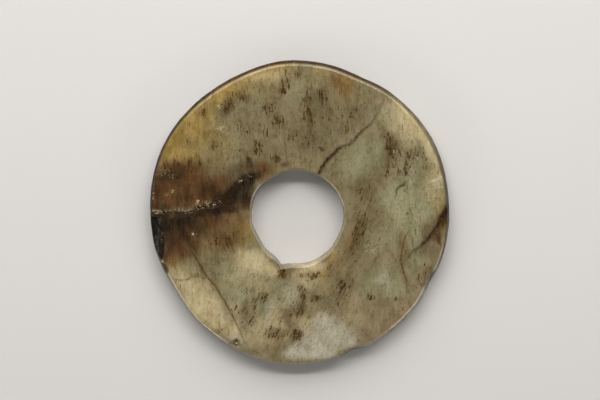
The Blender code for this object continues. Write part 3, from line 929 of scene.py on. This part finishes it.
def polishedNephrite(names):
    # Polished nephrite, long buried: a waxy, slightly see-through stone. Its felted grain shows as
    # short dark dashes, iron has stained it along the cracks, and its worn edges catch the light.
    material = bpy.data.materials.new("polishedNephriteBurialStained")
    material.use_nodes = True
    tree = material.node_tree
    shader = tree.nodes["Principled BSDF"]
    place = addNode(tree, "TexCoord", {}, {}).outputs["Object"]
    times = {"operation": "MULTIPLY"}
    plus = {"operation": "ADD"}
    timesPlus = {"operation": "MULTIPLY_ADD"}
    minus = {"operation": "SUBTRACT"}
    smooth = {"interpolation_type": "SMOOTHSTEP"}
    paint = {"data_type": "RGBA"}
    marks = {}
    for name in names:
        marks[name] = addNode(tree, "Attribute", {"attribute_name": name}, {}).outputs["Fac"]

    # the felted grain: drawn out noise, upright over most of the stone and aslant below the bore
    grains = []
    grainSize = (stone["grainWidth"], stone["grainLength"], stone["grainLength"])
    for lean in (stone["uprightLean"], stone["slantLean"]):
        turned = {"Vector": place, "Rotation": (0, 0, lean), "Scale": grainSize}
        turned = addNode(tree, "Mapping", {"vector_type": "TEXTURE"}, turned)
        for size in (1, 2.6):
            drawn = {"Vector": turned, "Scale": 1 / size, "Detail": 3, "Roughness": 0.6}
            grains.append(addNode(tree, "TexNoise", {}, {**drawn, "Distortion": 0.5}))
    grain = addNode(tree, "Mix", {}, {"Factor": marks["slant"], "A": grains[0], "B": grains[2]})
    wideGrain = addNode(tree, "Mix", {}, {"Factor": marks["slant"], "A": grains[1], "B": grains[3]})
    mottle = {"Vector": place, "Scale": 1 / stone["mottle"], "Detail": 4, "Roughness": 0.6}
    mottle = addNode(tree, "TexNoise", {}, mottle)
    cloud = {"Vector": place, "Scale": 1 / stone["cloud"], "Detail": 4, "Roughness": 0.55}
    cloud = addNode(tree, "TexNoise", {}, {**cloud, "Distortion": 0.6})
    fine = {"Vector": place, "Scale": 1 / stone["speckSize"], "Detail": 3, "Roughness": 0.65}
    fine = addNode(tree, "TexNoise", {}, fine)

    # the clean stone: two olive tones
    tone = addNode(tree, "Math", times, {0: cloud, 1: 0.4})
    tone = addNode(tree, "Math", timesPlus, {0: mottle, 1: 0.15, 2: tone})
    tone = addNode(tree, "Math", timesPlus, {0: wideGrain, 1: 0.45, 2: tone})
    level = addNode(tree, "MapRange", smooth, {"Value": tone, "From Min": 0.36, "From Max": 0.64})
    colour = addNode(tree, "Mix", paint, {"Factor": level, "A": stone["olive"][1], "B": stone["olive"][0]})

    # greener where the mottling is thick
    cover = {"Value": mottle, "From Min": 0.46, "From Max": 0.62, "To Max": 0.55}
    cover = addNode(tree, "MapRange", smooth, cover)
    colour = addNode(tree, "Mix", paint, {"Factor": cover, "A": colour, "B": stone["sage"]})

    # the stains, one over another, with edges that the grain frays
    frayed = addNode(tree, "Math", timesPlus, {0: grain, 1: 0.65, 2: -0.5})
    frayed = addNode(tree, "Math", timesPlus, {0: mottle, 1: 0.35, 2: frayed})
    for name, stain in stains.items():
        pale, deep = stain["colours"]
        own = addNode(tree, "Mix", paint, {"Factor": level, "A": deep, "B": pale})
        edge = addNode(tree, "Math", timesPlus, {0: frayed, 1: 3 * stain["ragged"], 2: marks[name]})
        cover = addNode(tree, "MapRange", {}, {"Value": edge, "From Min": 0.02, "From Max": 0.98})
        colour = addNode(tree, "Mix", paint, {"Factor": cover, "A": colour, "B": own})

    # browner where the flecks cluster
    cover = addNode(tree, "Math", timesPlus, {0: frayed, 1: 2.5, 2: marks["flecks"]})
    cover = {"Value": cover, "From Min": 0.1, "From Max": 1.1, "To Max": 0.5}
    cover = addNode(tree, "MapRange", smooth, cover)
    colour = addNode(tree, "Mix", paint, {"Factor": cover, "A": colour, "B": stone["fleckStain"]})

    # the grain lightens and darkens it all, least of all the cream stone
    shade = addNode(tree, "Math", times, {0: grain, 1: 0.5})
    shade = addNode(tree, "Math", timesPlus, {0: mottle, 1: 0.25, 2: shade})
    shade = addNode(tree, "Math", timesPlus, {0: fine, 1: 0.25, 2: shade})
    shade = {"Value": shade, "From Min": 0.36, "From Max": 0.64, "To Min": 0.61, "To Max": 1.39}
    shade = addNode(tree, "MapRange", {}, shade)
    tinted = {**paint, "blend_type": "MULTIPLY"}
    strong = addNode(tree, "Math", timesPlus, {0: marks["cream"], 1: -0.5, 2: 1})
    colour = addNode(tree, "Mix", tinted, {"Factor": strong, "A": colour, "B": shade})

    # dark dashes and specks, many where a cluster lies and few elsewhere
    patchy = {"Value": mottle, "From Min": 0.38, "From Max": 0.54, "To Min": 0.55}
    patchy = addNode(tree, "MapRange", smooth, patchy)
    limit = addNode(tree, "Math", timesPlus, {0: marks["flecks"], 1: -0.23, 2: 0.78})
    limit = addNode(tree, "Math", timesPlus, {0: marks["cream"], 1: 0.04, 2: limit})
    dashes = addNode(tree, "Math", timesPlus, {0: fine, 1: 0.25, 2: grain})
    dashes = addNode(tree, "Math", minus, {0: dashes, 1: limit})
    dashes = addNode(tree, "MapRange", smooth, {"Value": dashes, "From Min": -0.02, "From Max": 0.04})
    dashes = addNode(tree, "Math", times, {0: dashes, 1: patchy})
    cover = addNode(tree, "Math", times, {0: dashes, 1: 0.9})
    colour = addNode(tree, "Mix", paint, {"Factor": cover, "A": colour, "B": stone["fleck"]})
    limit = addNode(tree, "Math", timesPlus, {0: marks["flecks"], 1: -0.22, 2: 0.765})
    specks = addNode(tree, "Math", minus, {0: fine, 1: limit})
    specks = addNode(tree, "MapRange", smooth, {"Value": specks, "From Min": -0.02, "From Max": 0.04})
    cover = addNode(tree, "Math", times, {0: specks, 1: 0.85})
    colour = addNode(tree, "Mix", paint, {"Factor": cover, "A": colour, "B": stone["speck"]})

    # veins and fissures: a dark line with a stained halo on each side
    wobble = addNode(tree, "Math", timesPlus, {0: fine, 1: 1.2, 2: -0.6})
    broken = {"Value": mottle, "From Min": 0.38, "From Max": 0.52, "To Min": 0.55}
    broken = addNode(tree, "MapRange", smooth, broken)
    matte = marks["rim"]
    for name, most in (("vein", 0.45), ("fissure", 0.7), ("scratch", 0.3)):
        away = addNode(tree, "Math", plus, {0: marks[name + "Away"], 1: wobble})
        away = addNode(tree, "Math", {"operation": "ABSOLUTE"}, {0: away})
        away = addNode(tree, "Math", minus, {0: away, 1: marks[name + "Width"]})
        for ink, reach, start, full in ((name + "Halo", 1.3, 0.1, most), (name, 0.25, -0.2, 1)):
            line = {"Value": away, "From Min": reach, "From Max": start, "To Max": full}
            line = addNode(tree, "MapRange", smooth, line)
            line = addNode(tree, "Math", times, {0: line, 1: marks[name + "Dark"]})
            line = addNode(tree, "Math", times, {0: line, 1: broken})
            colour = addNode(tree, "Mix", paint, {"Factor": line, "A": colour, "B": stone[ink]})
            matte = addNode(tree, "Math", {"operation": "MAXIMUM"}, {0: matte, 1: line})

    dull = addNode(tree, "Math", times, {0: marks["scar"], 1: 0.45})
    matte = addNode(tree, "Math", {"operation": "MAXIMUM"}, {0: matte, 1: dull})

    # fresh crumbs on the broken lips, and painted glints
    crumbs = addNode(tree, "Math", times, {0: fine, 1: 0.65})
    crumbs = addNode(tree, "Math", timesPlus, {0: mottle, 1: 0.35, 2: crumbs})
    crumbs = addNode(tree, "MapRange", smooth, {"Value": crumbs, "From Min": 0.5, "From Max": 0.62})
    crumbs = addNode(tree, "Math", times, {0: crumbs, 1: marks["crumbs"]})
    colour = addNode(tree, "Mix", paint, {"Factor": crumbs, "A": colour, "B": stone["crumb"]})

    # painted shade and a pale painted reflection on the rim, painted shade and reflection in the scars
    blotches = addNode(tree, "Math", times, {0: mottle, 1: 0.5})
    blotches = addNode(tree, "Math", timesPlus, {0: grain, 1: 0.5, 2: blotches})
    for name, ink, least in (("rim", "rimPaintedShade", 0.75), ("paintedReflectionMask", "rimPaintedReflection", 0.4)):
        patches = {"Value": blotches, "From Min": 0.4, "From Max": 0.58, "To Min": least}
        patches = addNode(tree, "MapRange", smooth, patches)
        cover = addNode(tree, "Math", times, {0: marks[name], 1: patches})
        colour = addNode(tree, "Mix", paint, {"Factor": cover, "A": colour, "B": stone[ink]})
    # the large scar's painted reflection, in patches
    scarReflectionShare = addNode(tree, "MapRange", smooth, {"Value": blotches, "From Min": 0.46, "From Max": 0.6})
    scarReflectionShare = addNode(tree, "Math", times, {0: scarReflectionShare, 1: marks["scarDeep"]})
    own = {"Factor": scarReflectionShare, "A": stone["paintedScarShade"], "B": stone["paintedScarReflection"]}
    own = addNode(tree, "Mix", paint, own)
    cover = addNode(tree, "Math", times, {0: marks["scar"], 1: 0.95})
    colour = addNode(tree, "Mix", paint, {"Factor": cover, "A": colour, "B": own})
    tree.links.new(colour.outputs["Result"], shader.inputs["Base Color"])

    # waxy polish, glossier on the worn facets, duller on the rim and in the dashes
    low, high = stone["roughness"]
    gloss = {"Value": cloud, "From Min": 0.35, "From Max": 0.65, "To Min": low, "To Max": high}
    gloss = addNode(tree, "MapRange", {}, gloss)
    gloss = addNode(tree, "Math", timesPlus, {0: dashes, 1: 0.04, 2: gloss})
    for name, value in (("rim", stone["rimRoughness"]), ("facet", stone["facetRoughness"])):
        gloss = addNode(tree, "Mix", {}, {"Factor": marks[name], "A": gloss, "B": value})
    tree.links.new(gloss.outputs["Result"], shader.inputs["Roughness"])
    sheen = addNode(tree, "Mix", {}, {"Factor": matte, "A": stone["specular"], "B": stone["rimSpecular"]})
    tree.links.new(sheen.outputs["Result"], shader.inputs["Specular IOR Level"])
    height = addNode(tree, "Math", times, {0: grain, 1: 0.5})
    height = addNode(tree, "Math", timesPlus, {0: fine, 1: 0.3, 2: height})
    height = addNode(tree, "Math", timesPlus, {0: dashes, 1: -0.5, 2: height})
    bump = {"Strength": stone["bump"], "Distance": stone["bumpDepth"], "Height": height}
    bump = addNode(tree, "Bump", {}, bump)
    tree.links.new(bump.outputs["Normal"], shader.inputs["Normal"])
    shader.inputs["IOR"].default_value = stone["ior"]
    shader.inputs["Specular Tint"].default_value = linear(stone["shineTint"])
    shader.inputs["Subsurface Weight"].default_value = stone["glow"]
    shader.inputs["Subsurface Radius"].default_value = stone["glowReach"]
    shader.inputs["Subsurface Scale"].default_value = stone["glowDepth"]
    return material


ring = makeRing()
shapeRing(ring)
print("ring spun and shaped:", len(ring.data.vertices), "points")
divideNear(ring)
scar = wearStone(ring)
print("stone worn, cracked and chipped:", len(ring.data.vertices), "points")
names = markStone(ring, scar)
ring.data.materials.append(polishedNephrite(names))
bpy.ops.object.select_all(action="DESELECT")
ring.select_set(True)
bpy.context.view_layer.objects.active = ring
bpy.ops.object.shade_smooth_by_angle(angle=math.radians(50))
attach(ring, "root")
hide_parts("jade_disc")
print("stone stained:", sum(len(p.vertices) - 2 for p in ring.data.polygons), "triangles")

studio = {
    "floorColour": "#d2cfca",
    "floorSize": 3.0,
    "floorRoughness": 0.8,
    "ambient": 0.12,
    "lensLength": 120,
    "distance": 0.93,
    "aim": (0, 6.95 * mm, 11 * mm),
    # soft boxes: direction from +X and height over the floor in degrees, distance, width, height, W,
    # and whether gloss mirrors it: the fill only lights, so that low views keep the stone's colours
    "boxes": {
        "topMiddle": (90, 36, 1.3, 1.0, 0.95, 5.5, True),
        "topLeft": (119, 35, 1.3, 0.9, 0.95, 5, True),
        "topRight": (62, 35, 1.3, 0.9, 0.95, 5, True),
        "topFill": (90, 36, 1.25, 2.2, 0.95, 3.2, False),
        "crown": (90, 56, 1.3, 1.6, 0.1, 8, True),
        "lowLeft": (222, 24, 1.3, 0.8, 0.3, 3, True),
        "lowRight": (322, 24, 1.3, 0.8, 0.3, 2.6, True),
    },
}


def addBox(name, turn, height, distance, wide, high, power, mirrored):
    light = bpy.data.lights.new(name, "AREA")
    light.shape = "RECTANGLE"
    light.size = wide
    light.size_y = high
    light.energy = power
    box = bpy.data.objects.new(name, light)
    box.visible_glossy = mirrored
    turn, height = math.radians(turn), math.radians(height)
    flat = distance * math.cos(height)
    box.location = (flat * math.cos(turn), flat * math.sin(turn), distance * math.sin(height))
    bpy.context.scene.collection.objects.link(box)
    away = box.location.normalized()
    side = Vector((0, 0, 1)).cross(away).normalized()
    box.rotation_euler = Matrix((side, away.cross(side), away)).transposed().to_euler()


def setStudio():
    bpy.ops.object.select_all(action="DESELECT")
    bpy.ops.mesh.primitive_plane_add(size=studio["floorSize"], location=(0, 0, 0))
    floor = bpy.context.object
    floor.name = "studioFloor"
    material = bpy.data.materials.new("mattePaleBoard")
    material.use_nodes = True
    shader = material.node_tree.nodes["Principled BSDF"]
    shader.inputs["Base Color"].default_value = linear(studio["floorColour"])
    shader.inputs["Roughness"].default_value = studio["floorRoughness"]
    floor.data.materials.append(material)
    world = bpy.data.worlds.new("studioAir")
    world.use_nodes = True
    background = world.node_tree.nodes["Background"]
    background.inputs["Color"].default_value = (1, 1, 1, 1)
    background.inputs["Strength"].default_value = studio["ambient"]
    bpy.context.scene.world = world
    for name, values in studio["boxes"].items():
        addBox(name, *values)
    bpy.context.scene.view_settings.view_transform = "Standard"


def setCamera():
    tilt = photo["tilt"]
    camera = bpy.data.cameras.new("camera")
    camera.lens = studio["lensLength"]
    camera.sensor_width = 36
    camera.clip_end = 20
    eye = bpy.data.objects.new("camera", camera)
    aim = Vector(studio["aim"])
    eye.location = aim + Vector((0, math.sin(tilt), math.cos(tilt))) * studio["distance"]
    eye.rotation_euler = (-tilt, 0, 0)
    bpy.context.scene.collection.objects.link(eye)
    bpy.context.scene.camera = eye


setStudio()
setCamera()
print("studio and camera set")
